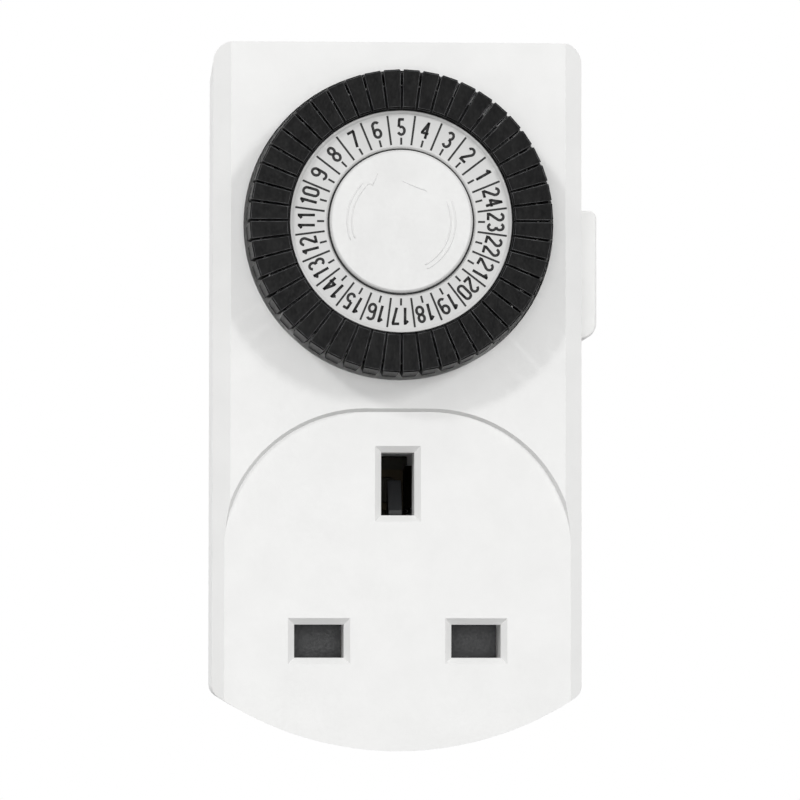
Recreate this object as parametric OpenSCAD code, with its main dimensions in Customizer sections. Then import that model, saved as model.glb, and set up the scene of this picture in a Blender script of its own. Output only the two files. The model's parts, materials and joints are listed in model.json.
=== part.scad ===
// Plug-in 24 hour timer switch with push-in half-hour trippers.
// Millimetres. Everything is drawn lying on its back: X to the right, Y up the face, Z out of the
// wall towards the user. stand() then turns it upright, so the face looks along -Y.
// The origin is on the rear face, midway between the two power pins.

/* [Case] */
// Width of the case
case_w = 52.4; // [51.6:0.2:58]
// Height of the flat top above the line of the power pins
case_top = 84.8; // [84.4:0.2:92]
// Reach of the curved bottom below the line of the power pins
case_drop = 15.5; // [14.6:0.1:18]
// Depth from the rear face to the front face
case_d = 38; // [37:0.5:44]
// Thickness of the side walls
wall = 2; // [1.8:0.1:2.2]
// Thickness of the front wall
face_t = 3; // [2.6:0.1:3.4]
// Radius of the two top corners
top_corner_r = 2.6; // [2.2:0.1:4]
// Radius of the arc along the bottom
bottom_arc_r = 46; // [42:1:60]
// Radius of the two bottom corners
bottom_corner_r = 2; // [1:0.1:3]
// Width of the bevel along each long front edge
bevel_w = 2.5; // [2:0.1:2.6]
// Depth of the bevel along each long front edge
bevel_d = 2.8; // [2:0.1:3]
// Depth of the rear cover's rim
rim_d = 7; // [6:0.5:8]
// Thickness of the rear cover's floor
floor_t = 3; // [2.5:0.1:3.5]

/* [Socket face] */
// Depth of the lowered socket face below the upper face
recess_d = 0.9; // [0.5:0.1:1.2]
// Lean of the arched step between the two faces
recess_lean = 0.45; // [0.1:0.05:0.8]
// Height of the arch's flat top above the power pins
arch_top = 32.4; // [31.5:0.1:33.5]
// Radius of the arch's two corners
arch_r = 20; // [14:0.5:21]
// Width of a power aperture
power_hole_w = 7; // [6.8:0.1:7.6]
// Height of a power aperture
power_hole_h = 4.7; // [4.5:0.1:5.2]
// Width of the earth aperture
earth_hole_w = 4.7; // [4.5:0.1:5.2]
// Height of the earth aperture
earth_hole_h = 8.9; // [8.6:0.1:9.4]
// Width of the chamfer round each aperture
lead_w = 0.9; // [0.5:0.1:1.2]
// Depth of the chamfer round each aperture
lead_d = 0.8; // [0.4:0.1:1]
// Wall of the shroud behind each aperture
shroud_t = 1.2; // [1:0.1:1.4]
// Depth of the power apertures below the socket face
power_shroud_d = 10.1; // [9:0.1:10.3]
// Depth of the earth aperture below the socket face
earth_shroud_d = 6.9; // [6:0.1:7.1]

/* [Plug] */
// Spacing of the power pins, and height of the earth pin above them
pin_pitch = 22.23; // [22.13:0.05:22.33]
// Width of a power pin
power_pin_w = 6.35; // [6.25:0.05:6.45]
// Thickness of a power pin
power_pin_h = 3.97; // [3.87:0.05:4.05]
// Length of a power pin in front of the rear face
power_pin_len = 17.7; // [17.2:0.1:18.2]
// Thickness of the earth pin
earth_pin_w = 3.97; // [3.87:0.05:4.05]
// Width of the earth pin
earth_pin_h = 7.92; // [7.8:0.05:8.05]
// Length of the earth pin in front of the rear face
earth_pin_len = 22.73; // [22.2:0.1:23.2]
// Length of the insulating sleeve on a power pin
sleeve_len = 9; // [8:0.1:9.5]
// Wall of the insulating sleeve
sleeve_t = 0.5; // [0.4:0.05:0.6]

/* [Dial] */
// Height of the dial's axis above the power pins
dial_y = 58.8; // [58.2:0.1:59]
// Number of trippers round the dial, one for each half hour
tripper_count = 48; // [48:48:48]
// Distance from the trippers' outer ends to the sides of the case
dial_margin = 4.95; // [4.8:0.05:5.1]
// Length of a tripper along the dial's radius
tripper_len = 5.45; // [5.3:0.05:5.6]
// Slope of the trippers' outer ends in degrees
tripper_draft = 2; // [0:0.25:2.5]
// Gap between two trippers
tripper_gap = 0.28; // [0.25:0.01:0.45]
// Height of the trippers above the front face
tripper_top = 8.5; // [8:0.1:10]
// Thickness of a tripper's cap
cap_t = 1.8; // [1.4:0.1:1.9]
// How far a tripper is pushed in
tripper_travel = 3; // [2.6:0.1:3]
// Thickness of a tripper's guide web
web_t = 0.8; // [0.7:0.05:0.9]
// Radius of the spindle that carries the dial
spindle_r = 3; // [2.6:0.1:3.4]
// Height of the centre cap above the front face
cap_top = 7.6; // [7.4:0.1:8]
// Width of the number ring from its bore to its rim
ring_w = 5.3; // [5.15:0.05:5.75]
// Height of the number ring above the front face
ring_top = 6.8; // [6.5:0.1:7]
// Thickness of the number ring
ring_t = 1.2; // [1:0.1:1.3]
// Depth of the round well below the front face
well_d = 6; // [5.8:0.1:6.4]
// Thickness of the well's floor
well_floor_t = 1.6; // [1.4:0.1:1.8]
// Thickness of the well's side wall
well_wall_t = 1.5; // [1.2:0.1:1.6]

/* [Gears] */
// Tooth module of every gear
gear_m = 0.5; // [0.5:0.01:0.51]
// Teeth of the ring under the dial
dial_teeth = 40; // [39:1:41]
// Teeth of the idler's pinion, which drives the dial
idler_pinion_teeth = 12; // [12:1:13]
// Teeth of the idler's wheel
idler_wheel_teeth = 36; // [34:1:36]
// Teeth of the motor's pinion
motor_pinion_teeth = 10; // [10:1:11]
// Face width of the gears
gear_w = 1.8; // [1.5:0.1:2]
// Thinning of each tooth for backlash
backlash = 0.1; // [0.06:0.01:0.16]
// Direction of the idler from the dial's axis, in degrees
idler_dir = 135; // [130:1:140]
// Direction of the motor from the idler's axis, in degrees
motor_dir = -75; // [-80:1:-70]
// Radius of the steel arbor under the idler
arbor_r = 0.75; // [0.6:0.05:0.9]

/* [Motor] */
// Radius of the motor's case
motor_r = 13; // [11:0.5:13.5]
// Depth of the motor's case
motor_d = 13.4; // [11:0.2:15]
// Thickness of the gear plate
plate_t = 1.2; // [1:0.1:1.4]
// Radius of the motor's output shaft
shaft_r = 1; // [0.8:0.05:1.2]

/* [Switch] */
// Distance of the switch plunger's middle from the inside of the trippers' skirts
plunger_in = 1.6; // [1.4:0.1:1.8]
// How far a pushed-in tripper presses the plunger
plunger_travel = 1.4; // [1:0.1:1.5]
// Width of the plunger's nose, which stands between two webs
nose_t = 1; // [0.8:0.05:1.1]
// Distance of the contact arm's pivot below the plunger
arm_len = 18; // [16:0.5:19]
// Thickness of the contact arm
arm_t = 0.9; // [0.7:0.1:1.1]
// Width of the contact arm
arm_w = 4.6; // [4:0.1:5]
// Radius of the contact arm's pivot pin
pivot_r = 0.8; // [0.7:0.05:0.9]
// Radius of a silver contact button
button_r = 1.6; // [1.2:0.1:2]

/* [Contacts and shutter] */
// Thickness of the brass strips and contacts
strip_t = 0.8; // [0.6:0.05:0.9]
// Depth of the contacts' mouths below the shutter
mouth_gap = 0.9; // [0.6:0.1:1.2]
// Thickness of the shutter
shutter_t = 1.2; // [1:0.1:1.4]
// Travel of the shutter
shutter_travel = 5.3; // [5:0.1:5.4]
// Width of the shutter's ramp in the earth aperture
ramp_w = 2; // [1.6:0.1:2.4]
// Radius of the wire of the two coil springs
wire_r = 0.25; // [0.2:0.01:0.28]

/* [Override slider] */
// Height of the slider's middle above the power pins
slider_y = 52.8; // [52.6:0.1:53.4]
// Length of the slider's knob
knob_len = 18.6; // [18.4:0.2:20]
// Width of the slider's knob, front to back
knob_w = 9; // [8:0.5:10]
// Reach of the slider's knob beyond the side wall
knob_out = 3.1; // [2.8:0.1:3.6]
// Travel of the slider
slider_travel = 5; // [4:0.5:5]
// Distance of the knob's middle from the rear face
slider_z = 20; // [19:0.5:21]

/* [Fits] */
// Radial clearance of a shaft in its bore
run_gap = 0.05; // [0.03:0.01:0.08]
// Clearance at each side of a part that slides in a slot
slide_gap = 0.12; // [0.1:0.01:0.15]
// Clearance between neighbouring parts
part_gap = 0.3; // [0.2:0.05:0.35]

/* [Hidden] */
$fn = 96;
tripper_names = [
    for (i = [1:24]) str("tripper_", i < 10 ? "0" : "", i)
];

// colours
pale_abs = "#efefec";
cap_white = "#ececea";
ring_grey = "#d6d6d4";
black_pom = "#1d1d1f";
natural_pom = "#e4e1d6";
dark_abs = "#3a3b3d";
brass = "#c9a24f";
nickel = "#c4c2bb";
steel = "#9a9da1";

// levels above the rear face
recess_z = case_d - recess_d;
ceiling_z = case_d - face_t;
well_z = case_d - well_d;
well_under_z = well_z - well_floor_t;
spigot_top_z = rim_d + 2;
eps = 0.01;

// outline of the case
arc_y = bottom_arc_r - case_drop;
inner_w = case_w - 2 * wall;
spigot_wall = 1.4;
rear_step = 0.9;
seam = 0.12;

// screws that hold the two covers together
boss_r = 3;
boss_hole_r = 1.5;
boss_over_base = 2.4;
boss_top = [inner_w / 2 - boss_r + 0.2, case_top - wall - boss_r + 0.2];
boss_low = [boss_top[0], leaf_out(power_pin_h) + boss_over_base + boss_r];
boss_places = [
    [-boss_top[0], boss_top[1]], boss_top, [-boss_low[0], boss_low[1]], boss_low
];
screw_head_r = 2.6;
screw_head_h = 1.6;
screw_len = 13;

// apertures: middle of the earth aperture, and places of the power pins
line_x = pin_pitch / 2;
earth_y = pin_pitch;

// dial levels; the pushed-in webs stop just above the gears in the well
gear_low_z = well_z + 0.4;
dial_pitch = 360 / tripper_count;
tripper_out_r = case_w / 2 - dial_margin;
tripper_in_r = tripper_out_r - tripper_len;
tripper_z = case_d + tripper_top;
cap_under_z = tripper_z - cap_t;
ring_z = case_d + ring_top;
disc_z = ring_z - ring_t;
disc_t = 1.4;
ring_out_r = tripper_in_r - 0.2;
ring_in_r = ring_out_r - ring_w;
cap_r = ring_in_r - 0.25;
spindle_wall = 1.4;
spindle_top_z = disc_z + 0.3;
peg_len = 7;
peg_r = spindle_r - spindle_wall - run_gap;
cap_low_z = disc_z + 0.6;
hub_out_r = spindle_r + 2;
skirt_in_r = tripper_out_r - 1.35;
skirt_z = case_d + 0.3;
web_z = gear_low_z + gear_w + 0.2 + tripper_travel;
nose_top_z = web_z - tripper_travel + plunger_travel;
web_in_r = tripper_in_r + 1.1;
rim_in_r = web_in_r + 0.8;
rim_out_r = skirt_in_r - 0.5;
rim_top_z = cap_under_z - tripper_travel - 0.4;
rim_low_z = nose_top_z + 0.4;
flange_top_z = rim_top_z - 0.1;
flange_t = 1.7;
well_r = tripper_out_r + (tripper_top + tripper_travel) * tan(tripper_draft) + part_gap;

// gears, as distances between the axes
gear_ha = 0.8;
gear_hf = 1.05;
pinion_shift = 0.25;
idler_reach = gear_m * (dial_teeth + idler_pinion_teeth) / 2;
motor_reach = gear_m * (idler_wheel_teeth + motor_pinion_teeth) / 2;
idler_x = idler_reach * cos(idler_dir);
idler_y = dial_y + idler_reach * sin(idler_dir);
motor_x = idler_x + motor_reach * cos(motor_dir);
motor_y = idler_y + motor_reach * sin(motor_dir);
pinion_tip_r = gear_m * (idler_pinion_teeth / 2 + gear_ha + pinion_shift);
wheel_top_z = well_under_z - 0.4;
wheel_low_z = wheel_top_z - gear_w;
collar_r = 2;
plate_top_z = wheel_low_z - 0.7;
plate_z = plate_top_z - plate_t;
motor_front_z = plate_z;
motor_rear_z = motor_front_z - motor_d;

// gear plate: a rounded rectangle round the dial's axis, screwed to four posts
plate_w = 31;
plate_h = 38;
plate_x = -6.5;
plate_y = dial_y + 0.4;
plate_screw_in = 2.8;
post_r = 2.2;
post_in = 3;
post_places = [
    for (sx = [-1, 1], sy = [-1, 1])
        [plate_x + sx * (plate_w / 2 - post_in), plate_y + sy * (plate_h / 2 - post_in)]
];
small_screw_r = 0.85;
small_head_r = 1.7;
small_head_h = 1;

// motor: two ears screwed to the gear plate from behind
motor_boss_r = 2.2;
shaft_in = 2;
ear_t = 1;
ear_dir = 110;
ear_reach = motor_r + 2.2;
ear_places = [
    for (s = [-1, 1])
        [motor_x + s * ear_reach * cos(ear_dir), motor_y + s * ear_reach * sin(ear_dir)]
];

// switch: plunger, arm and contacts lie one behind the other at three o'clock
plunger_x = skirt_in_r - plunger_in;
nose_w = 2.2;
body_w = 3;
body_h = 3.6;
body_len = 5.6;
body_top_z = well_under_z - 0.1;
body_low_z = body_top_z - body_len;
guide_t = 1.1;
guide_len = 3.4;
arm_top_z = body_low_z - 0.1;
arm_mid_z = arm_top_z - arm_t / 2;
pivot_y = dial_y - arm_len;
hub_r = pivot_r + 0.8;
button_reach = 3.2;
button_t = 0.6;
button_y = dial_y + button_reach;
button_travel = plunger_travel * (arm_len + button_reach) / arm_len;
fixed_top_z = arm_top_z - arm_t - button_t - button_travel - 0.2;
strip_w = 4.6;
ear_gap = arm_w / 2 + 0.2;
spring_reach = 6;
spring_y = pivot_y + spring_reach;
clevis_end = 2.5;
leg_reach = 5;
leg_y = pivot_y - leg_reach;
run_w = 2.8;
run_boss_gap = 1.3;
run_foot_h = 2.4;
strip_turn_y = 30;
tab_end = 2.2;
foot_y = button_y + 4.5;
foot_len = 7;
lead_x_in = 8;
lead_y_in = 7;

// shutter behind the power apertures
shutter_top_z = recess_z - power_shroud_d - 0.4;
shutter_z = shutter_top_z - shutter_t;
shutter_hw = line_x + power_hole_w / 2 + 0.9;
shutter_up = power_hole_h / 2 + 0.35;
shutter_down = power_hole_h / 2 + 0.6;
ramp_top_y = earth_y - earth_hole_h / 2 + shutter_travel - 0.05;
ramp_low_y = earth_y - earth_hole_h / 2 + 0.1;
rail_t = 1.4;
ramp_z = recess_z - earth_shroud_d - 0.3;

// female contacts
mouth_z = shutter_z - mouth_gap;
line_base_z = 9;
root_z = floor_t + 2;
rivet_r = 1.3;
leaf_w = 6;
line_base_w = 12.4;
tab_y = 4.6;

// springs
coil_r = 1.4;

// override slider
wall_x = case_w / 2;
slot_w = 4;
stem_len = 6;
shoe_t = 1.2;
finger_x = plunger_x + 0.7;
finger_top_z = arm_top_z + 2;

module stand() rotate([90, 0, 0]) children();

// prism along Y: the outline's x and y become X and Z
module along_y(from, to) {
    translate([0, to, 0])
        rotate([90, 0, 0])
            linear_extrude(to - from)
                children();
}

// prism along X: the outline's x and y become Y and Z
module along_x(from, to) {
    translate([from, 0, 0])
        rotate([90, 0, 90])
            linear_extrude(to - from)
                children();
}

// box given by its middle in X and Y, its size, and its two levels
module block(x, y, w, h, low, high) {
    translate([x - w / 2, y - h / 2, low])
        cube([w, h, high - low]);
}

module rod(x, y, r, low, high) {
    translate([x, y, low])
        cylinder(r = r, h = high - low);
}

// rectangle with round corners
module rounded(w, h, r) {
    square([w - 2 * r, h], center = true);
    square([w, h - 2 * r], center = true);
    for (sx = [-1, 1], sy = [-1, 1])
        translate([sx * (w / 2 - r), sy * (h / 2 - r)])
            circle(r);
}

// points of an arc round a centre, between two directions in degrees
function arc(x, y, r, from, to, steps) = [
    for (i = [0:steps])
        let (a = from + (to - from) * i / steps)
            [x + r * cos(a), y + r * sin(a)]
];

// outline of the case: flat top, straight sides, bottom on one large arc
module case_outline(inset = 0) {
    hw = case_w / 2 - inset;
    top = case_top - inset;
    top_r = max(top_corner_r - inset, 0.6);
    low_r = max(bottom_corner_r - inset, 0.4);
    big_r = bottom_arc_r - inset;
    low_x = hw - low_r;
    low_y = arc_y - sqrt(pow(big_r - low_r, 2) - low_x * low_x);
    join = atan2(low_y - arc_y, low_x);
    steps = 60;
    step = (180 + 2 * join) / steps;
    polygon(concat(
        arc(hw - top_r, top - top_r, top_r, 0, 90, 8),
        arc(top_r - hw, top - top_r, top_r, 90, 180, 8),
        arc(-low_x, low_y, low_r, 180, 180 - join, 6),
        arc(0, arc_y, big_r, 180 - join + step, 360 + join - step, steps - 2),
        arc(low_x, low_y, low_r, join, 0, 6)
    ));
}

// the two bevels that run down the long front edges
module long_bevels() {
    over = 1;
    for (s = [-1, 1])
        mirror([s < 0 ? 1 : 0, 0, 0])
            along_y(-case_drop - over, case_top + over)
                polygon([
                    [wall_x - bevel_w * (1 + over / bevel_d), case_d + over],
                    [wall_x + bevel_w * over / bevel_d, case_d - bevel_d - over],
                    [wall_x + bevel_w * over / bevel_d + over, case_d + over]
                ]);
}

// space in front of the lowered socket face; its arched step leans outwards
module socket_recess() {
    over = 1;
    mid_y = arch_top - arch_r;
    half_flat = arch_half_flat();
    lean = recess_lean * (1 + over / recess_d);
    for (s = [-1, 1])
        translate([s * half_flat, mid_y, recess_z])
            cylinder(r1 = arch_r, r2 = arch_r + lean, h = recess_d + over);
    along_x(-half_flat, half_flat)
        polygon([
            [mid_y - 1, recess_z], [arch_top, recess_z],
            [arch_top + lean, case_d + over], [mid_y - 1, case_d + over]
        ]);
    block(0, (mid_y - case_drop) / 2 - 1, case_w + 2, mid_y + case_drop + 2, recess_z, case_d + over);
}

// the arch ends on the bevels, level with the lowered face
function arch_half_flat() = case_w / 2 - bevel_w * (1 - recess_d / bevel_d) - arch_r + 0.1;

// rectangular hole with a mitred chamfer at its mouth, from level low up to the socket face
module mitred_hole(w, h, low) {
    over = 1;
    grow = lead_w * (1 + over / lead_d);
    throat_z = recess_z - lead_d;
    block(0, 0, w, h, low - eps, recess_z + over);
    intersection() {
        along_y(-h, h)
            polygon([
                [-w / 2, throat_z], [w / 2, throat_z],
                [w / 2 + grow, recess_z + over], [-w / 2 - grow, recess_z + over]
            ]);
        along_x(-w - 5, w + 5)
            polygon([
                [-h / 2, throat_z], [h / 2, throat_z],
                [h / 2 + grow, recess_z + over], [-h / 2 - grow, recess_z + over]
            ]);
    }
}

module shroud(w, h, low) {
    block(0, 0, w + 2 * shroud_t, h + 2 * shroud_t, low, ceiling_z + 0.5);
}

module front_cover() {
    power_low = recess_z - power_shroud_d;
    earth_low = recess_z - earth_shroud_d;
    color(pale_abs)
    stand()
    difference() {
        union() {
            difference() {
                front_shell();
                rod(0, dial_y, well_r, well_z, case_d + 1);
            }
            rod(0, dial_y, spindle_r, well_z - 0.5, spindle_top_z);
        }
        rod(0, dial_y, spindle_r - spindle_wall, spindle_top_z - peg_len - 0.5, spindle_top_z + 1);
        for (s = [-1, 1])
            translate([s * line_x, 0, 0])
                mitred_hole(power_hole_w, power_hole_h, power_low);
        translate([0, earth_y, 0])
            mitred_hole(earth_hole_w, earth_hole_h, earth_low);
        for (p = boss_places)
            rod(p[0], p[1], boss_hole_r, spigot_top_z, floor_t + screw_len + 1);
        for (p = post_places)
            rod(p[0], p[1], small_screw_r + run_gap, plate_top_z - 1, plate_top_z + plate_screw_in + 0.2);
        rod(idler_x, idler_y, pinion_tip_r + part_gap, well_under_z - 1, well_z + 1);
        block(plunger_x, dial_y, nose_w + 2 * slide_gap, nose_t + 2 * slide_gap,
            well_under_z - 1, well_z + 1);
        block(plunger_x, dial_y, body_w + 2 * slide_gap, body_h + 2 * slide_gap,
            well_under_z - guide_len - 1, well_under_z);
        block(wall_x, slider_y - slider_travel / 2, 3 * wall,
            stem_len + slider_travel + 2 * slide_gap,
            slider_z - slot_w / 2 - slide_gap, slider_z + slot_w / 2 + slide_gap);
    }
}

// the hollow moulding before its openings are cut: shell, well, shrouds, bosses, posts and guides
module front_shell() {
    difference() {
        translate([0, 0, rim_d])
            linear_extrude(case_d - rim_d)
                case_outline();
        translate([0, 0, rim_d - 1])
            linear_extrude(ceiling_z - rim_d + 1)
                case_outline(wall);
        long_bevels();
        socket_recess();
    }
    rod(0, dial_y, well_r + well_wall_t, well_under_z, ceiling_z + 0.5);
    for (s = [-1, 1])
        translate([s * line_x, 0, 0])
            shroud(power_hole_w, power_hole_h, recess_z - power_shroud_d);
    translate([0, earth_y, 0])
        shroud(earth_hole_w, earth_hole_h, recess_z - earth_shroud_d);
    for (p = boss_places)
        rod(p[0], p[1], boss_r, spigot_top_z + part_gap, ceiling_z + 0.5);
    for (p = post_places)
        rod(p[0], p[1], post_r, plate_top_z, ceiling_z + 0.5);
    block(plunger_x, dial_y, body_w + 2 * guide_t, body_h + 2 * guide_t,
        well_under_z - guide_len, well_under_z + 0.5);
    for (s = [-1, 1])
        mirror([s < 0 ? 1 : 0, 0, 0])
            shutter_rail();
}

// guide along one end of the shutter, with a lip behind it
module shutter_rail() {
    from_x = shutter_hw + slide_gap;
    low_y = arc_y - sqrt(pow(bottom_arc_r - wall, 2) - from_x * from_x) - 0.4;
    top_y = shutter_up + 3;
    mid_y = (low_y + top_y) / 2;
    lip_z = shutter_z - slide_gap;
    block(from_x + rail_t / 2, mid_y, rail_t, top_y - low_y, lip_z - 0.8, ceiling_z + 0.5);
    block(from_x - 0.3, mid_y, 1, top_y - low_y, lip_z - 0.8, lip_z);
}

module rear_cover() {
    over = 1;
    pin_gap = 2 * run_gap;
    color(pale_abs)
    stand()
    difference() {
        union() {
            difference() {
                union() {
                    linear_extrude(rear_step)
                        case_outline(rear_step);
                    translate([0, 0, rear_step])
                        linear_extrude(rim_d - rear_step)
                            case_outline(seam);
                    translate([0, 0, floor_t])
                        linear_extrude(spigot_top_z - floor_t)
                            case_outline(wall + slide_gap);
                }
                translate([0, 0, floor_t])
                    linear_extrude(spigot_top_z)
                        case_outline(wall + slide_gap + spigot_wall);
            }
            intersection() {
                for (p = boss_places)
                    rod(p[0], p[1], boss_r, floor_t - 0.5, spigot_top_z);
                translate([0, 0, floor_t - 1])
                    linear_extrude(spigot_top_z)
                        case_outline(wall + slide_gap);
            }
            for (s = [-1, 1])
                block(line_x + s * (line_base_w / 2 - 0.9), 0, 1.8, 2 * leaf_out(power_pin_h),
                    floor_t - 0.5, line_base_z);
            for (y = [strip_turn_y - 8, strip_turn_y + 12])
                block(y < strip_turn_y ? line_x : plunger_x, y, strip_w, 2, floor_t - 0.5, root_z);
        }
        for (p = boss_places) {
            rod(p[0], p[1], screw_head_r + part_gap, -over, floor_t);
            rod(p[0], p[1], boss_hole_r + 0.1, floor_t - eps, spigot_top_z + over);
        }
        for (s = [-1, 1])
            block(s * line_x, 0, power_pin_w + pin_gap, power_pin_h + pin_gap, -over, floor_t + eps);
        block(0, earth_y, earth_pin_w + pin_gap, earth_pin_h + pin_gap, -over, floor_t + eps);
    }
}

// cross-recessed screw with its head at the bottom; low is the level under which the head ends
module screw(x, y, head_radius, head_height, shank_r, low, high) {
    difference() {
        union() {
            rod(x, y, head_radius, low, low + head_height);
            rod(x, y, shank_r, low + head_height - eps, high);
        }
        for (turn = [0, 90])
            translate([x, y, low])
                rotate(turn)
                    block(0, 0, head_radius * 1.2, head_radius * 0.28, -1, head_height * 0.6);
    }
}

module case_screws() {
    color(steel)
    stand()
    for (p = boss_places)
        screw(p[0], p[1], screw_head_r, screw_head_h, boss_hole_r - run_gap,
            floor_t - screw_head_h, floor_t + screw_len);
}

module plate_screws() {
    color(steel)
    stand()
    for (p = post_places)
        screw(p[0], p[1], small_head_r, small_head_h, small_screw_r,
            plate_z - small_head_h, plate_top_z + plate_screw_in);
}

module motor_screws() {
    color(steel)
    stand()
    for (p = ear_places)
        screw(p[0], p[1], small_head_r, small_head_h, small_screw_r,
            plate_z - ear_t - small_head_h, plate_top_z - 0.1);
}

// involute of a circle, as the extra angle at radius r of a base circle base_r, in degrees
function involute(base_r, r) =
    r <= base_r ? 0 : (tan(acos(base_r / r)) * 180 / PI - acos(base_r / r));

// outline of a spur gear with one tooth centred on +X
module gear_outline(teeth, shift) {
    pitch_r = gear_m * teeth / 2;
    base_r = pitch_r * cos(20);
    tip_r = pitch_r + gear_m * (gear_ha + shift);
    root_r = pitch_r - gear_m * (gear_hf - shift);
    start_r = max(base_r, root_r);
    pitch_half = (gear_m * (90 + 2 * shift * tan(20) * 180 / PI) - backlash / 2 * 180 / PI) / 2 / pitch_r;
    base_half = pitch_half + involute(base_r, pitch_r);
    steps = 4;
    flank = [
        for (i = [0:steps])
            let (r = start_r + (tip_r - start_r) * i / steps)
                [r, base_half - involute(base_r, r)]
    ];
    root_half = min(base_half + 2, 180 / teeth - 0.5);
    tooth = concat(
        [[root_r, -root_half]],
        [for (i = [0:steps]) [flank[i][0], -flank[i][1]]],
        [for (i = [steps:-1:0]) flank[i]],
        [[root_r, root_half]]
    );
    polygon([
        for (k = [0:teeth - 1])
            for (p = tooth)
                let (turn = p[1] + k * 360 / teeth)
                    [p[0] * cos(turn), p[0] * sin(turn)]
    ]);
}

// gear between two levels, turned so that a tooth (or a gap, for offset 0.5) points to aim degrees
module gear(x, y, teeth, shift, aim, offset, low, high) {
    translate([x, y, low])
        rotate(aim + offset * 360 / teeth)
            linear_extrude(high - low)
                gear_outline(teeth, shift);
}

module dial_carrier() {
    gear_top_z = gear_low_z + gear_w;
    drum_in_r = gear_m * dial_teeth / 2 - 3;
    step_in_r = ring_out_r - 1.4;
    flange_z = flange_top_z - flange_t;
    color(dark_abs)
    stand()
    difference() {
        union() {
            translate([0, dial_y, 0])
                rotate_extrude()
                    polygon([
                        [1, gear_low_z], [hub_out_r, gear_low_z], [hub_out_r, disc_z - disc_t],
                        [drum_in_r, disc_z - disc_t], [drum_in_r, gear_low_z],
                        [drum_in_r + 1.2, gear_low_z], [drum_in_r + 1.2, disc_z - disc_t],
                        [step_in_r, disc_z - disc_t], [step_in_r, flange_z],
                        [rim_in_r, flange_z], [rim_in_r, rim_low_z],
                        [rim_out_r, rim_low_z], [rim_out_r, rim_top_z],
                        [rim_in_r, rim_top_z], [rim_in_r, flange_top_z],
                        [ring_out_r, flange_top_z], [ring_out_r, disc_z], [1, disc_z]
                    ]);
            difference() {
                gear(0, dial_y, dial_teeth, -pinion_shift, idler_dir, 0, gear_low_z, gear_top_z);
                rod(0, dial_y, drum_in_r + 0.6, gear_low_z - 1, gear_top_z + 1);
            }
        }
        rod(0, dial_y, spindle_r + run_gap, gear_low_z - 1, disc_z + 1);
        for (i = [0:tripper_count - 1])
            translate([0, dial_y, 0])
                rotate((i + 0.5) * dial_pitch)
                    translate([web_in_r - slide_gap, -web_t / 2 - slide_gap, rim_low_z - 1])
                        cube([rim_out_r - web_in_r + 2, web_t + 2 * slide_gap, rim_top_z - rim_low_z + 2]);
    }
}

module number_ring() {
    lip = 0.25;
    color(ring_grey)
    stand()
    translate([0, dial_y, 0])
        rotate_extrude()
            polygon([
                [ring_in_r, disc_z], [ring_out_r, disc_z], [ring_out_r, ring_z + lip],
                [ring_out_r - lip, ring_z + lip], [ring_out_r - 2 * lip, ring_z],
                [ring_in_r + lip, ring_z], [ring_in_r, ring_z - lip]
            ]);
}

module centre_cap() {
    top_z = case_d + cap_top;
    edge = 0.3;
    color(cap_white)
    stand()
    translate([0, dial_y, 0])
        rotate_extrude()
            polygon([
                [0, spindle_top_z - peg_len], [peg_r - 0.3, spindle_top_z - peg_len],
                [peg_r, spindle_top_z - peg_len + 0.5], [peg_r, spindle_top_z],
                [spindle_r - 0.2, spindle_top_z], [spindle_r - 0.2, cap_low_z + 0.4],
                [cap_r - 1.2, cap_low_z + 0.4], [cap_r - 1.2, cap_low_z], [cap_r, cap_low_z],
                [cap_r, top_z - edge], [cap_r - edge, top_z], [0, top_z]
            ]);
}

// angle of an hour's mark round the dial; the hours run against the clock from 5 at the top
function hour_angle(hour) = 90 + (hour - 5) * 2 * dial_pitch;

// one push-in half-hour tripper, drawn along +X from the dial's axis
module tripper_piece() {
    edge = 0.2;
    side_edge = 0.08;
    corner = 0.3;
    half = dial_pitch / 2;
    gap = tripper_gap / 2;
    foot_r = tripper_out_r + (tripper_z - skirt_z) * tan(tripper_draft);
    far_r = foot_r + 1;
    cut_r = tripper_out_r - corner;
    in_w = tripper_in_r * tan(half) - gap / cos(half);
    cut_w = cut_r * tan(half) - gap / cos(half);
    far_w = cut_w - (far_r - cut_r) / 2;
    difference() {
        intersection() {
            translate([0, 0, skirt_z - 1])
                linear_extrude(tripper_z - skirt_z + 2)
                    polygon([
                        [tripper_in_r, -in_w], [cut_r, -cut_w], [far_r, -far_w],
                        [far_r, far_w], [cut_r, cut_w], [tripper_in_r, in_w]
                    ]);
            along_y(-cut_w - 1, cut_w + 1)
                polygon([
                    [tripper_in_r, cap_under_z], [tripper_in_r, tripper_z - edge],
                    [tripper_in_r + edge, tripper_z], [tripper_out_r - edge, tripper_z],
                    [tripper_out_r, tripper_z - edge], [foot_r, skirt_z],
                    [skirt_in_r, skirt_z], [skirt_in_r, cap_under_z]
                ]);
        }
        for (s = [-1, 1])
            rotate(s * half)
                along_x(tripper_in_r - 1, far_r + 1)
                    polygon([
                        [-s * (gap + side_edge + 1), tripper_z + 1],
                        [-s * (gap - 1), tripper_z - side_edge - 1],
                        [-s * (gap - 1), tripper_z + 1]
                    ]);
    }
    translate([web_in_r, -web_t / 2, web_z])
        cube([skirt_in_r - web_in_r + 0.2, web_t, cap_under_z - web_z + 0.2]);
}

// the two trippers of one hour, counted from its mark
module tripper(hour) {
    color(black_pom)
    stand()
    translate([0, dial_y, 0])
        for (half = [0, 1])
            rotate(hour_angle(hour) + (half + 0.5) * dial_pitch)
                tripper_piece();
}

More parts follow.
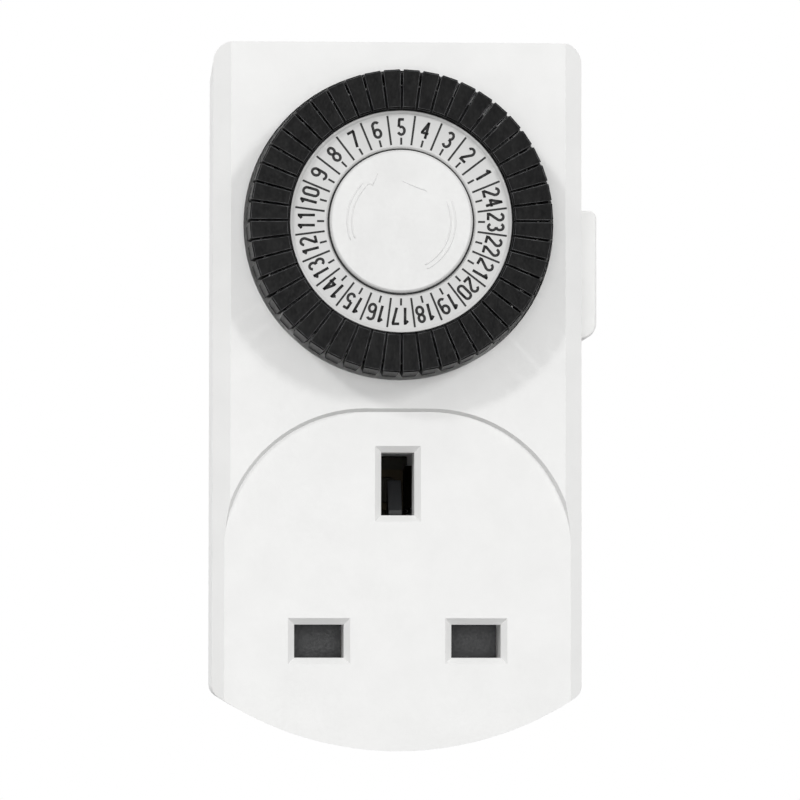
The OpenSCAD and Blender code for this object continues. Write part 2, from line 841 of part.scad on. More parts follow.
module idler_gear() {
    aim_back = idler_dir + 180;
    color(natural_pom)
    stand()
    difference() {
        union() {
            gear(idler_x, idler_y, idler_wheel_teeth, -pinion_shift, motor_dir, 0,
                wheel_low_z, wheel_top_z);
            rod(idler_x, idler_y, collar_r, wheel_top_z - 0.2, gear_low_z + 0.2);
            gear(idler_x, idler_y, idler_pinion_teeth, pinion_shift, aim_back, 0.5,
                gear_low_z, gear_low_z + gear_w);
        }
        rod(idler_x, idler_y, arbor_r + run_gap, wheel_low_z - 1, gear_low_z + gear_w + 1);
    }
}

module idler_arbor() {
    color(steel)
    stand()
    rod(idler_x, idler_y, arbor_r, plate_z + 0.1, gear_low_z + gear_w + 0.3);
}

module gear_plate() {
    color(natural_pom)
    stand()
    difference() {
        union() {
            translate([0, 0, plate_z])
                linear_extrude(plate_t)
                    intersection() {
                        translate([plate_x, plate_y])
                            rounded(plate_w, plate_h, post_in);
                        case_outline(wall + part_gap);
                    }
            rod(idler_x, idler_y, arbor_r + 1, plate_top_z - 0.2, wheel_low_z - 0.1);
        }
        rod(idler_x, idler_y, arbor_r, plate_z + 0.1, plate_top_z + 1);
        rod(motor_x, motor_y, motor_boss_r + run_gap, plate_z - 1, plate_top_z + 1);
        for (p = post_places)
            rod(p[0], p[1], small_screw_r + run_gap, plate_z - 1, plate_top_z + 1);
        for (p = ear_places)
            rod(p[0], p[1], small_screw_r + run_gap, plate_z - 1, plate_top_z + 1);
        for (p = boss_places)
            rod(p[0], p[1], boss_r + part_gap, plate_z - 1, plate_top_z + 1);
    }
}

module motor_case() {
    edge = 0.8;
    color(nickel)
    stand()
    difference() {
        union() {
            translate([motor_x, motor_y, 0])
                rotate_extrude()
                    polygon([
                        [0, motor_rear_z], [motor_r - edge, motor_rear_z], [motor_r, motor_rear_z + edge],
                        [motor_r, motor_front_z - edge], [motor_r - edge, motor_front_z],
                        [motor_boss_r, motor_front_z], [motor_boss_r, plate_top_z], [0, plate_top_z]
                    ]);
            translate([motor_x, motor_y, motor_front_z - ear_t])
                rotate(ear_dir)
                    linear_extrude(ear_t)
                        rounded(2 * ear_reach + 5, 5, 2.4);
        }
        rod(motor_x, motor_y, shaft_r + run_gap, motor_front_z - shaft_in - 0.3, plate_top_z + 1);
        for (p = ear_places)
            rod(p[0], p[1], small_screw_r + run_gap, motor_front_z - ear_t - 1, plate_top_z);
    }
}

module motor_shaft() {
    color(steel)
    stand()
    rod(motor_x, motor_y, shaft_r, motor_front_z - shaft_in, wheel_top_z + 0.1);
}

module motor_pinion() {
    color(brass)
    stand()
    difference() {
        gear(motor_x, motor_y, motor_pinion_teeth, pinion_shift, motor_dir + 180, 0.5,
            wheel_low_z, wheel_top_z);
        rod(motor_x, motor_y, shaft_r, wheel_low_z - 1, wheel_top_z + 1);
    }
}

// insulated wire with a straight run between each two points
module wire(points) {
    wire_out_r = 0.6;
    for (i = [1:len(points) - 1]) {
        run = points[i] - points[i - 1];
        flat = norm([run[0], run[1]]);
        translate(points[i - 1])
            rotate([0, atan2(flat, run[2]), atan2(run[1], run[0])])
                cylinder(r = wire_out_r, h = norm(run), $fn = 24);
    }
    for (i = [1:len(points) - 2])
        translate(points[i])
            sphere(r = wire_out_r + 0.08, $fn = 24);
}

module motor_leads() {
    lead_z = root_z + strip_t + 1.4;
    start_z = motor_rear_z - 0.05;
    end_z = root_z + strip_t + 0.05;
    color("#2f2f31")
    stand() {
        wire([
            [motor_x + lead_x_in, motor_y - lead_y_in, start_z],
            [motor_x + lead_x_in, motor_y - lead_y_in, lead_z],
            [line_x, strip_turn_y - 3, lead_z], [line_x, strip_turn_y - 3, end_z]
        ]);
        wire([
            [motor_x - lead_y_in, motor_y - lead_y_in, start_z],
            [motor_x - lead_y_in, motor_y - lead_y_in, lead_z],
            [-line_x, tab_y, lead_z], [-line_x, tab_y, end_z]
        ]);
    }
}

module switch_plunger() {
    tip = 0.35;
    heel_len = 1;
    color(natural_pom)
    stand() {
        block(plunger_x, dial_y, body_w, body_h, body_low_z + heel_len, body_top_z);
        block(plunger_x, dial_y, body_w, body_h / 3, body_low_z, body_low_z + heel_len + 0.1);
        along_x(plunger_x - nose_w / 2, plunger_x + nose_w / 2)
            polygon([
                [dial_y - nose_t / 2, body_top_z - 0.2], [dial_y + nose_t / 2, body_top_z - 0.2],
                [dial_y + nose_t / 2, nose_top_z - tip], [dial_y + nose_t / 2 - tip, nose_top_z],
                [dial_y - nose_t / 2 + tip, nose_top_z], [dial_y - nose_t / 2, nose_top_z - tip]
            ]);
    }
}

module contact_arm() {
    end_y = button_y + button_r + 0.4;
    color(brass)
    stand()
    difference() {
        union() {
            block(plunger_x, (pivot_y + end_y) / 2, arm_w, end_y - pivot_y, arm_top_z - arm_t, arm_top_z);
            along_x(plunger_x - arm_w / 2, plunger_x + arm_w / 2)
                translate([pivot_y, arm_mid_z])
                    circle(hub_r);
            rod(plunger_x, button_y, button_r, arm_top_z - arm_t - button_t, arm_top_z - arm_t + 0.2);
        }
        along_x(plunger_x - arm_w, plunger_x + arm_w)
            translate([pivot_y, arm_mid_z])
                circle(pivot_r + run_gap);
    }
}

module arm_pivot() {
    reach = ear_gap + strip_t + 0.4;
    color(steel)
    stand()
    along_x(plunger_x - reach, plunger_x + reach)
        translate([pivot_y, arm_mid_z])
            circle(pivot_r);
}

// strip on the load side: a clevis for the arm's pivot, a leg, and a run to the line contact
module load_strip() {
    clevis_z = arm_mid_z - hub_r - 2;
    run_z = line_base_z + strip_t;
    foot_x = line_x + line_base_w / 2;
    run_x = boss_low[0] - boss_r - run_boss_gap;
    turn_y = boss_low[1] - boss_r;
    left_x = plunger_x - strip_w / 2;
    right_x = plunger_x + strip_w / 2;
    color(brass)
    stand() {
        difference() {
            union() {
                block(plunger_x, (leg_y + spring_y + clevis_end) / 2, 2 * (ear_gap + strip_t),
                    spring_y + clevis_end - leg_y, clevis_z - strip_t, clevis_z);
                for (s = [-1, 1])
                    along_x(plunger_x + s * (ear_gap + strip_t / 2) - strip_t / 2,
                        plunger_x + s * (ear_gap + strip_t / 2) + strip_t / 2) {
                        translate([pivot_y, arm_mid_z])
                            circle(hub_r);
                        translate([pivot_y - hub_r, clevis_z - 0.1])
                            square([2 * hub_r, arm_mid_z - clevis_z + 0.1]);
                    }
                block(plunger_x, leg_y + strip_t / 2, strip_w, strip_t, run_z, clevis_z);
                translate([0, 0, run_z])
                    linear_extrude(strip_t)
                        polygon([
                            [left_x, leg_y + strip_t], [right_x, leg_y + strip_t],
                            [right_x, leg_y - 6], [run_x, leg_y - 12],
                            [run_x, turn_y], [foot_x, run_foot_h],
                            [foot_x, -run_foot_h], [foot_x - run_w, -run_foot_h],
                            [foot_x - run_w, run_foot_h], [run_x - run_w, turn_y],
                            [run_x - run_w, leg_y - 12], [left_x, leg_y - 6]
                        ]);
            }
            along_x(plunger_x - 2 * strip_w, plunger_x + 2 * strip_w)
                translate([pivot_y, arm_mid_z])
                    circle(pivot_r);
        }
    }
}

// strip from the line pin, flat over the rear cover, up to the fixed contact's foot
module line_strip() {
    half = strip_w / 2;
    color(brass)
    stand()
    difference() {
        translate([0, 0, root_z])
            linear_extrude(strip_t)
                polygon([
                    [line_x - half, -half], [line_x + half, -half], [line_x + half, strip_turn_y],
                    [plunger_x + half, strip_turn_y + 7], [plunger_x + half, foot_y],
                    [plunger_x - half, foot_y], [plunger_x - half, strip_turn_y + 9],
                    [line_x - half, strip_turn_y + 2]
                ]);
        rod(line_x, 0, rivet_r, root_z - 1, root_z + strip_t + 1);
    }
}

// bracket standing on the line strip, with the button that the arm closes on
module fixed_contact() {
    tab_z = fixed_top_z - button_t;
    color(brass)
    stand() {
        along_x(plunger_x - strip_w / 2, plunger_x + strip_w / 2)
            polygon([
                [foot_y - foot_len, root_z + strip_t], [foot_y, root_z + strip_t],
                [foot_y, tab_z], [button_y - tab_end, tab_z], [button_y - tab_end, tab_z - strip_t],
                [foot_y - strip_t, tab_z - strip_t], [foot_y - strip_t, root_z + 2 * strip_t],
                [foot_y - foot_len, root_z + 2 * strip_t]
            ]);
        rod(plunger_x, button_y, button_r, tab_z - 0.2, fixed_top_z);
    }
}

// half distance between the outer faces of a contact's two leaves, for a pin of thickness t
function leaf_out(t) = t / 2 + 0.4 + strip_t;

// U-shaped spring contact for a pin of thickness t; the outline stands in its narrow direction
module contact_outline(t, base_z) {
    out = leaf_out(t);
    pinch = t / 2 - 0.2;
    mouth = t / 2 + 0.8;
    pinch_z = mouth_z - 3;
    bend_z = base_z + 4;
    polygon([
        [-out, base_z], [out, base_z], [out, bend_z], [pinch + strip_t, pinch_z],
        [mouth + strip_t, mouth_z], [mouth, mouth_z], [pinch, pinch_z],
        [out - strip_t, bend_z], [out - strip_t, base_z + strip_t],
        [-out + strip_t, base_z + strip_t], [-out + strip_t, bend_z], [-pinch, pinch_z],
        [-mouth, mouth_z], [-mouth - strip_t, mouth_z], [-pinch - strip_t, pinch_z], [-out, bend_z]
    ]);
}

module line_contact() {
    color(brass)
    stand() {
        along_x(line_x - leaf_w / 2, line_x + leaf_w / 2)
            contact_outline(power_pin_h, line_base_z);
        block(line_x, 0, line_base_w, 2 * leaf_out(power_pin_h), line_base_z, line_base_z + strip_t);
    }
}

module neutral_contact() {
    color(brass)
    stand()
    difference() {
        union() {
            along_x(-line_x - leaf_w / 2, -line_x + leaf_w / 2)
                contact_outline(power_pin_h, root_z);
            block(-line_x, tab_y / 2 + 0.7, 3.6, tab_y + 1.4, root_z, root_z + strip_t);
        }
        rod(-line_x, 0, rivet_r, root_z - 1, root_z + strip_t + 1);
    }
}

module earth_contact() {
    color(brass)
    stand()
    difference() {
        along_y(earth_y - leaf_w / 2, earth_y + leaf_w / 2)
            contact_outline(earth_pin_w, root_z);
        rod(0, earth_y, rivet_r, root_z - 1, root_z + strip_t + 1);
    }
}

// blade of a plug pin along -Z with a tapered tip
module blade(w, h, reach) {
    tip_len = 1.6;
    tip_in = 0.8;
    intersection() {
        along_y(-h / 2, h / 2)
            polygon([
                [-w / 2, floor_t + eps], [w / 2, floor_t + eps], [w / 2, tip_len - reach],
                [w / 2 - tip_in, -reach], [tip_in - w / 2, -reach], [-w / 2, tip_len - reach]
            ]);
        along_x(-w / 2, w / 2)
            polygon([
                [-h / 2, floor_t + eps], [h / 2, floor_t + eps], [h / 2, tip_len - reach],
                [h / 2 - tip_in, -reach], [tip_in - h / 2, -reach], [-h / 2, tip_len - reach]
            ]);
    }
}

// pin with its shoulder inside the rear cover and its rivet through the strip or contact
module plug_pin(w, h, reach) {
    blade(w, h, reach);
    block(0, 0, w + 2, h + 2, floor_t, root_z);
    rod(0, 0, rivet_r, root_z - eps, root_z + strip_t + 0.1);
    rod(0, 0, rivet_r + 0.6, root_z + strip_t, root_z + strip_t + 0.6);
}

module sleeve_ring(w, h) {
    difference() {
        block(0, 0, w, h, -sleeve_len, 0);
        block(0, 0, w - 2 * sleeve_t, h - 2 * sleeve_t, -sleeve_len - 1, 1);
    }
}

module power_pin() {
    difference() {
        plug_pin(power_pin_w, power_pin_h, power_pin_len);
        sleeve_ring(power_pin_w, power_pin_h);
    }
}

module line_pin() {
    color(nickel)
    stand()
    translate([line_x, 0, 0])
        power_pin();
}

module neutral_pin() {
    color(nickel)
    stand()
    translate([-line_x, 0, 0])
        power_pin();
}

module earth_pin() {
    color(nickel)
    stand()
    translate([0, earth_y, 0])
        plug_pin(earth_pin_w, earth_pin_h, earth_pin_len);
}

module pin_sleeves() {
    color(black_pom)
    stand()
    for (s = [-1, 1])
        translate([s * line_x, 0, 0])
            sleeve_ring(power_pin_w, power_pin_h);
}

// bar across both power apertures, with a tongue that ends in a ramp in the earth aperture
module shutter() {
    color(dark_abs)
    stand() {
        block(0, (shutter_up - shutter_down) / 2, 2 * shutter_hw, shutter_up + shutter_down,
            shutter_z, shutter_top_z);
        along_x(-ramp_w / 2, ramp_w / 2)
            polygon([
                [shutter_up - 0.2, shutter_z], [ramp_top_y, shutter_z], [ramp_top_y, shutter_top_z],
                [ramp_low_y + 0.8, ramp_z], [ramp_low_y, ramp_z],
                [ramp_low_y, shutter_top_z], [shutter_up - 0.2, shutter_top_z]
            ]);
    }
}

// helical spring along Z as one closed tube of six-sided rings
module coil(turns, high) {
    sides = 6;
    rings = 12;
    count = turns * rings;
    rise = high - 2 * wire_r;
    points = [
        for (i = [0:count])
            let (turn = 360 * i / rings, z = wire_r + rise * i / count)
                for (k = [0:sides - 1])
                    let (r = coil_r + wire_r * cos(60 * k))
                        [r * cos(turn), r * sin(turn), z + wire_r * sin(60 * k)]
    ];
    last = count * sides;
    faces = concat(
        [for (k = [1:sides - 2]) [0, k, k + 1]],
        [for (k = [1:sides - 2]) [last, last + k + 1, last + k]],
        [
            for (i = [0:count - 1])
                for (k = [0:sides - 1])
                    let (a = i * sides + k, b = i * sides + (k + 1) % sides)
                        [a, a + sides, b]
        ],
        [
            for (i = [0:count - 1])
                for (k = [0:sides - 1])
                    let (a = i * sides + k, b = i * sides + (k + 1) % sides)
                        [b, a + sides, b + sides]
        ]
    );
    polyhedron(points, faces);
}

module shutter_spring() {
    low_y = wall - case_drop + 0.1;
    color(steel)
    stand()
    translate([0, low_y, (shutter_z + shutter_top_z) / 2])
        rotate([-90, 0, 0])
            coil(7, -shutter_down - 0.05 - low_y);
}

module arm_spring() {
    low_z = arm_mid_z - hub_r - 2;
    color(steel)
    stand()
    translate([plunger_x, spring_y, low_z + 0.02])
        coil(4, arm_top_z - arm_t - low_z - 0.04);
}

// knob outside the wall, stem through the slot, and shoe with a finger inside
module override_slider() {
    out_x = wall_x + knob_out;
    near_x = wall_x + slide_gap;
    shoe_x = inner_w / 2 - slide_gap;
    low = slider_y - knob_len / 2;
    high = slider_y + knob_len / 2;
    top_r = 1.1;
    foot_r = 2.4;
    color(pale_abs)
    stand() {
        translate([0, 0, slider_z - knob_w / 2])
            linear_extrude(knob_w) {
                polygon([
                    [near_x, low], [out_x - foot_r, low], [out_x - foot_r, low + foot_r],
                    [out_x, low + foot_r], [out_x, high - top_r], [out_x - top_r, high - top_r],
                    [out_x - top_r, high], [near_x, high]
                ]);
                intersection() {
                    translate([out_x - foot_r, low + foot_r])
                        circle(foot_r);
                    translate([near_x, low])
                        square([out_x - near_x, 2 * foot_r]);
                }
                translate([out_x - top_r, high - top_r])
                    circle(top_r);
            }
        block((near_x + shoe_x) / 2, slider_y, near_x - shoe_x + 0.2, stem_len,
            slider_z - slot_w / 2, slider_z + slot_w / 2);
        block(shoe_x - shoe_t / 2, slider_y, shoe_t, stem_len + 6, slider_z - 4.5, finger_top_z);
        block((shoe_x + finger_x) / 2 - shoe_t / 2, slider_y, shoe_x - finger_x - shoe_t + 0.4, 4,
            arm_top_z + 0.4, finger_top_z);
    }
}

front_cover();
rear_cover();
case_screws();
dial_carrier();
number_ring();
centre_cap();
for (hour = [1:24])
    tripper(hour);
idler_gear();
idler_arbor();
gear_plate();
plate_screws();
motor_case();
motor_screws();
motor_shaft();
motor_pinion();
motor_leads();
switch_plunger();
contact_arm();
arm_pivot();
arm_spring();
fixed_contact();
line_strip();
load_strip();
line_contact();
neutral_contact();
earth_contact();
shutter();
shutter_spring();
line_pin();
neutral_pin();
earth_pin();
pin_sleeves();
override_slider();
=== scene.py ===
# %% [markdown]
# # A plug-in timer switch, dressed for its photograph
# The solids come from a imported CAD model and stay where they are. This script gives them their
# finishes, softens their moulded edges and adds what is printed or moulded on top: the numbers, the
# hour lines and the faint arrows on the cap. Everything is in metres, with the front facing -Y.

import json
import math

import bmesh
import bpy
from mathutils import Matrix, Vector


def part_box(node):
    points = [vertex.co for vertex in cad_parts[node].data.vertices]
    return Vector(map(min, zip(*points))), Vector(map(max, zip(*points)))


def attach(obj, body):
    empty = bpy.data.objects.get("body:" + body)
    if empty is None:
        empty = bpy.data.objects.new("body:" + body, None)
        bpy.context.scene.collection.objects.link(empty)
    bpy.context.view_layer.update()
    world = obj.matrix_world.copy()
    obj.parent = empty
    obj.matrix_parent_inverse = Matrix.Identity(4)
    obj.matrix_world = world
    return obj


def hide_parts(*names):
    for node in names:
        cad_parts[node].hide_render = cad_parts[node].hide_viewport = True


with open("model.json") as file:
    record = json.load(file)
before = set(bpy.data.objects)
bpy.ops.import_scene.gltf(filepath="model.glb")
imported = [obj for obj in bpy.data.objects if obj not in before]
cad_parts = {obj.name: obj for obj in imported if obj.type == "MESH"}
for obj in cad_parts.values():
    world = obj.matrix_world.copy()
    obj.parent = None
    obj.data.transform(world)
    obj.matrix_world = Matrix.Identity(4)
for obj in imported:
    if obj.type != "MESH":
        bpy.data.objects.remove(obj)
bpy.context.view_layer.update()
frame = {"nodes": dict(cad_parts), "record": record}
MM = 0.001
body_of_node = {
    node: body for body, nodes in frame["record"]["behaviour"]["bodies"].items() for node in nodes
}
slot_of_node = {s["node"]: s["material_slot"] for s in frame["record"]["subparts"]}

# %% [markdown]
# ## Camera
# The photograph is a long-lens product shot from slightly left of and below the middle, so the left
# wall and the lower flank of the dial just show. The position and the focal length come from a fit to
# the corners of the apertures, the dial and the outline. The turns are in radians.

# %% Camera
PHOTO_WIDTH_PX, FOCAL_PX, SENSOR_MM = 800.0, 5415.7, 36.0
TURN_RIGHT, TILT_UP, LEAN = 0.05298, 0.04451, 0.00106
CAMERA_PLACE = (-0.04025, -0.80134, 0.0)
NEAREST, FARTHEST = 0.05, 20.0
camera = bpy.data.objects.new("camera", bpy.data.cameras.new("camera"))
bpy.context.scene.collection.objects.link(camera)
bpy.context.scene.camera = camera
camera.data.sensor_width = SENSOR_MM
camera.data.lens = FOCAL_PX * SENSOR_MM / PHOTO_WIDTH_PX
camera.data.clip_start, camera.data.clip_end = NEAREST, FARTHEST
camera.location = CAMERA_PLACE
camera.rotation_mode = "QUATERNION"
camera.rotation_quaternion = (
    Matrix.Rotation(-TURN_RIGHT, 4, "Z")
    @ Matrix.Rotation(math.pi / 2 + TILT_UP, 4, "X")
    @ Matrix.Rotation(LEAN, 4, "Z")
).to_quaternion()
print("camera: focal length", round(camera.data.lens, 1), "mm")

# %% [markdown]
# ## Light, backdrop and floor
# White mouldings show their form in soft light. A large lamp near the camera gives most of it, and
# two small lamps high on the right and left cast the two soft shadows beside the dial. The room is
# brightest at the sides, which lights the bevels, and dimmer in front, so that black pieces stay
# black.

# %% Helper: add a node
scene = bpy.context.scene
scene.view_settings.view_transform = "Standard"


def add(tree, kind, links=(), **settings):
    """Adds a node. Settings are its properties, or its inputs by name with _ for a space.
    Links are pairs of (input, output socket)."""
    node = tree.nodes.new(kind)
    for name, value in settings.items():
        if name in node.bl_rna.properties:
            setattr(node, name, value)
        else:
            node.inputs[name.replace("_", " ")].default_value = value
    for socket, source in links:
        tree.links.new(source, node.inputs[socket])
    return node


# %% [markdown]
# The room's brightness depends on where a ray goes. Its Y says how far it points to the back and its Z
# how far up. The first map rises from the front to the sides, the second dims what is below, and the
# third dims the rear again, so that the back of the case isn't washed out.

# %% The room's brightness in each direction
WHITE = (1.0, 1.0, 1.0, 1.0)
world = bpy.data.worlds.new("studio")
scene.world = world
world.use_nodes = True
tree = world.node_tree
tree.nodes.clear()
toward = add(tree, "ShaderNodeTexCoord")
axes = add(tree, "ShaderNodeSeparateXYZ", [("Vector", toward.outputs["Generated"])])
sides = add(tree, "ShaderNodeMapRange", [("Value", axes.outputs["Y"])],
            From_Min=-0.2, From_Max=0.05, To_Min=0.42, To_Max=2.35)
heights = add(tree, "ShaderNodeMapRange", [("Value", axes.outputs["Z"])],
              From_Min=-0.6, From_Max=0.2, To_Min=0.6, To_Max=1.0)
rear = add(tree, "ShaderNodeMapRange", [("Value", axes.outputs["Y"])],
           From_Min=0.05, From_Max=0.45, To_Min=1.0, To_Max=0.36)
room = add(tree, "ShaderNodeMath", [(0, sides.outputs[0]), (1, heights.outputs[0])],
           operation="MULTIPLY")
room = add(tree, "ShaderNodeMath", [(0, room.outputs[0]), (1, rear.outputs[0])], operation="MULTIPLY")
light = add(tree, "ShaderNodeBackground", [("Strength", room.outputs[0])], Color=WHITE)
print("world: strength", round(sides.inputs["To Max"].default_value, 2), "at the sides")

# %% [markdown]
# A ray knows what kind it is. Camera and transmission rays see plain white, and so do reflections
# that look towards the back, as they would against the photograph's white backdrop.

# %% The background
behind = add(tree, "ShaderNodeMapRange", [("Value", axes.outputs["Y"])], From_Min=-0.3, From_Max=0.0)
path = add(tree, "ShaderNodeLightPath")
shine = add(tree, "ShaderNodeMath", [(0, path.outputs["Is Glossy Ray"]), (1, behind.outputs[0])],
            operation="MULTIPLY")
seen = add(tree, "ShaderNodeMath",
           [(0, path.outputs["Is Camera Ray"]), (1, path.outputs["Is Transmission Ray"])],
           operation="MAXIMUM")
seen = add(tree, "ShaderNodeMath", [(0, seen.outputs[0]), (1, shine.outputs[0])], operation="MAXIMUM")
white = add(tree, "ShaderNodeBackground", Color=WHITE, Strength=1.0)
both = add(tree, "ShaderNodeMixShader",
           [(0, seen.outputs[0]), (1, light.outputs[0]), (2, white.outputs[0])])
add(tree, "ShaderNodeOutputWorld", [("Surface", both.outputs[0])])
print("world:", len(tree.nodes), "nodes")

# %% [markdown]
# The small lamps stand off to each side, so each throws the dial's shadow down the other way. Their
# size is small against their distance, which leaves the shadows' edges only a little soft.


# %% Lamps
def lamp(name, place, size, watts):
    """A rectangular lamp that points at the middle of the object."""
    data = bpy.data.lights.new(name, "AREA")
    data.shape, data.energy = "RECTANGLE", watts
    data.size, data.size_y = size
    obj = bpy.data.objects.new(name, data)
    scene.collection.objects.link(obj)
    obj.location = place
    obj.rotation_mode = "QUATERNION"
    obj.rotation_quaternion = (Vector(MIDDLE) - Vector(place)).to_track_quat("-Z", "Y")


MIDDLE = (0, -0.03, 0.035)
lamp("right lamp", place=(0.56, -1.03, 0.48), size=(0.07, 0.22), watts=2.9)
lamp("left lamp", place=(-0.60, -1.03, 0.70), size=(0.12, 0.12), watts=3.5)
lamp("front lamp", place=(-0.04, -1.3, 0.05), size=(0.5, 0.5), watts=5.25)

# %% [markdown]
# The floor lies well below the timer, which in use hangs in a wall socket, and only other angles show
# it. Its paint is pale to the camera and darker to every other ray, because light thrown up from a
# pale floor would fill the shadows under the dial's rim.

# %% Floor
HALF_SIDE, FLOOR_Z = 1.5, -0.6
floor_mesh = bpy.data.meshes.new("floor")
corners = [(x * HALF_SIDE, y * HALF_SIDE, FLOOR_Z) for x, y in ((-1, -1), (1, -1), (1, 1), (-1, 1))]
floor_mesh.from_pydata(corners, [], [(0, 1, 2, 3)])
floor = bpy.data.objects.new("floor", floor_mesh)
scene.collection.objects.link(floor)
print("floor:", 2 * HALF_SIDE, "m wide at z", FLOOR_Z, "m")

# %% [markdown]
# ## Finishes
# Every finish starts from what the real material is and how its surface was made. Colours are
# written as sRGB hex and turned to linear by one function. Patterns are sized in millimetres.

# %% Colour and finish helpers
def linear(hex_colour):
    """A colour written as sRGB hex, as the linear values that a shader takes."""
    parts = [int(hex_colour[i:i + 2], 16) / 255 for i in (1, 3, 5)]
    return tuple(c / 12.92 if c <= 0.04045 else ((c + 0.055) / 1.055) ** 2.4 for c in parts) + (1.0,)


NOISE_LOW, NOISE_HIGH = 0.3, 0.7
GRAIN_DEPTH = 0.02 * MM


def finish_of(name, shades, rough, metallic=0.0, grain_mm=0.3, bump=0.0, rough_range=0.06,
              mottle_mm=6.0, stretch=(1, 1, 1), **shader):
    """A moulded, drawn or plated surface: a slow change between two shades, and a fine grain that
    changes the roughness and lifts the surface."""
    mat = bpy.data.materials.new(name)
    mat.use_nodes = True
    t = mat.node_tree
    t.nodes.clear()
    coords = add(t, "ShaderNodeTexCoord")
    place = add(t, "ShaderNodeMapping", [("Vector", coords.outputs["Object"])], Scale=stretch)
    mottle = add(t, "ShaderNodeTexNoise", [("Vector", place.outputs[0])],
                 Scale=1 / (mottle_mm * MM), Detail=3.0)
    grain = add(t, "ShaderNodeTexNoise", [("Vector", place.outputs[0])],
                Scale=1 / (grain_mm * MM), Detail=2.0)
    tint = add(t, "ShaderNodeValToRGB", [("Fac", mottle.outputs[0])])
    for stop, at, shade in zip(tint.color_ramp.elements, (NOISE_LOW, NOISE_HIGH), shades):
        stop.position, stop.color = at, linear(shade)
    gloss = add(t, "ShaderNodeMapRange", [("Value", grain.outputs[0])], From_Min=NOISE_LOW,
                From_Max=NOISE_HIGH, To_Min=rough - rough_range, To_Max=rough + rough_range)
    relief = add(t, "ShaderNodeBump", [("Height", grain.outputs[0])], Strength=bump, Distance=GRAIN_DEPTH)
    main = add(t, "ShaderNodeBsdfPrincipled", [
        ("Base Color", tint.outputs[0]), ("Roughness", gloss.outputs[0]),
        ("Normal", relief.outputs[0])], Metallic=metallic, **shader)
    add(t, "ShaderNodeOutputMaterial", [("Surface", main.outputs[0])])
    return mat


# %% [markdown]
# The case is white ABS from a spark-eroded tool: satin, with a grain of about a third of a
# millimetre that breaks up the highlights. The slider and both covers share it. The cap comes from a
# smoother tool, so it looks a little glossier, and the number ring is a silver-grey moulding against
# which the black ink stands out.

# %% White and grey mouldings
white_abs = finish_of("satin white ABS", ("#EDEDEC", "#F1F1F0"), 0.42, grain_mm=0.3, bump=0.25)
cap_abs = finish_of("smooth white ABS", ("#E2E2E1", "#E8E8E7"), 0.4, grain_mm=0.5, bump=0.12)
ring_abs = finish_of("silver-grey ABS", ("#CDCDCC", "#D7D7D6"), 0.42, grain_mm=0.25, bump=0.15)
print("mouldings:", white_abs.name, "|", cap_abs.name, "|", ring_abs.name)

# %% [markdown]
# Trippers click in and out all day, so they are acetal, which is slippery and hard. It is black and a
# little waxy, so it reflects weakly. Its edges carry a painted grey highlight for the thin lines of light
# along them, mixed with the grey of real rubbing. Nylon is duller and greyer. Natural acetal is the milky
# white of gears. The ink lies flat and dull.

# %% Acetal and other dark or natural plastics
black_acetal = finish_of("black acetal", ("#09090A", "#191919"), 0.36, grain_mm=0.22, bump=0.3,
                         rough_range=0.08, mottle_mm=0.9, stretch=(1, 1, 0.5), Specular_IOR_Level=0.06)
dark_nylon = finish_of("dark grey nylon", ("#2B2C2E", "#343537"), 0.5, grain_mm=0.3, bump=0.3)
sleeve_nylon = finish_of("black nylon sleeve", ("#161617", "#222223"), 0.45, grain_mm=0.3, bump=0.2)
natural_acetal = finish_of("natural acetal", ("#DEDACD", "#E8E4D8"), 0.4, grain_mm=0.4, bump=0.15)
lead_pvc = finish_of("black PVC lead", ("#262628", "#303032"), 0.5, grain_mm=0.4, bump=0.2)
# painted highlight, partly wear: this lighter grey on the trippers' bevel faces stands in for the thin
# lines of light along their edges, and some of it is real rubbing
highlight_and_wear_acetal = finish_of("acetal edge with painted highlight and wear", ("#2A2A2C", "#868688"), 0.45, grain_mm=0.2, bump=0.1,
                          mottle_mm=1.5, Specular_IOR_Level=0.12)
ink = finish_of("black printing ink", ("#101010", "#1B1B1B"), 0.6, grain_mm=0.1, bump=0.1)
print("black acetal grain: 0.22 mm, rubbed edges mottled every 1.5 mm")

# %% [markdown]
# The pins are brass with a nickel plate over it, drawn lengthwise, so their fine lines run along the
# pin. Strips are bare rolled brass, and small hardware is bright steel. The socket contacts and the
# pins' inner ends, which show only deep in the apertures, are painted dark as painted shade.

# %% Metals
nickel = finish_of("nickel plate on brass", ("#C8C4BA", "#D5D2CA"), 0.24, metallic=1.0,
                   grain_mm=0.15, bump=0.15, stretch=(1, 0.05, 1))
brass = finish_of("rolled brass", ("#C6A355", "#D8B96F"), 0.3, metallic=1.0,
                  grain_mm=0.15, bump=0.15, stretch=(1, 1, 0.05))
# painted shade: this very dark brass stands in for the shade deep in the apertures, where the contacts
# show
shade_painted_brass = finish_of("brass darkened as painted shade", ("#2F2A22", "#464034"), 0.55, metallic=1.0,
                      grain_mm=0.3, bump=0.2)
# painted shade: the pins' inner ends are darkened to stand in for the shade inside the case
shade_painted_nickel = finish_of("nickel darkened as painted shade at a pin's inner end", ("#2C2B28", "#3D3C38"), 0.55, metallic=1.0,
                        grain_mm=0.3, bump=0.2)
steel = finish_of("bright zinc-plated steel", ("#AEB1B6", "#C4C7CB"), 0.3, metallic=1.0,
                  grain_mm=0.2, bump=0.2)

# %% [markdown]
# The CAD record gives each node a material slot, and this table gives each slot its finish.

# %% Finish of each slot
finishes = {
    "case_plastic": white_abs, "cap_plastic": cap_abs, "ring_plastic": ring_abs,
    "tripper_plastic": black_acetal, "dark_plastic": dark_nylon, "sleeve_plastic": sleeve_nylon,
    "lead_plastic": lead_pvc, "natural_acetal": natural_acetal, "brass": brass, "nickel_plate": nickel,
    "steel": steel,
}
print("slots with a finish:", len(finishes))

# %% [markdown]
# The floor paint's own colour goes through a mix that asks whether the ray comes from the camera.

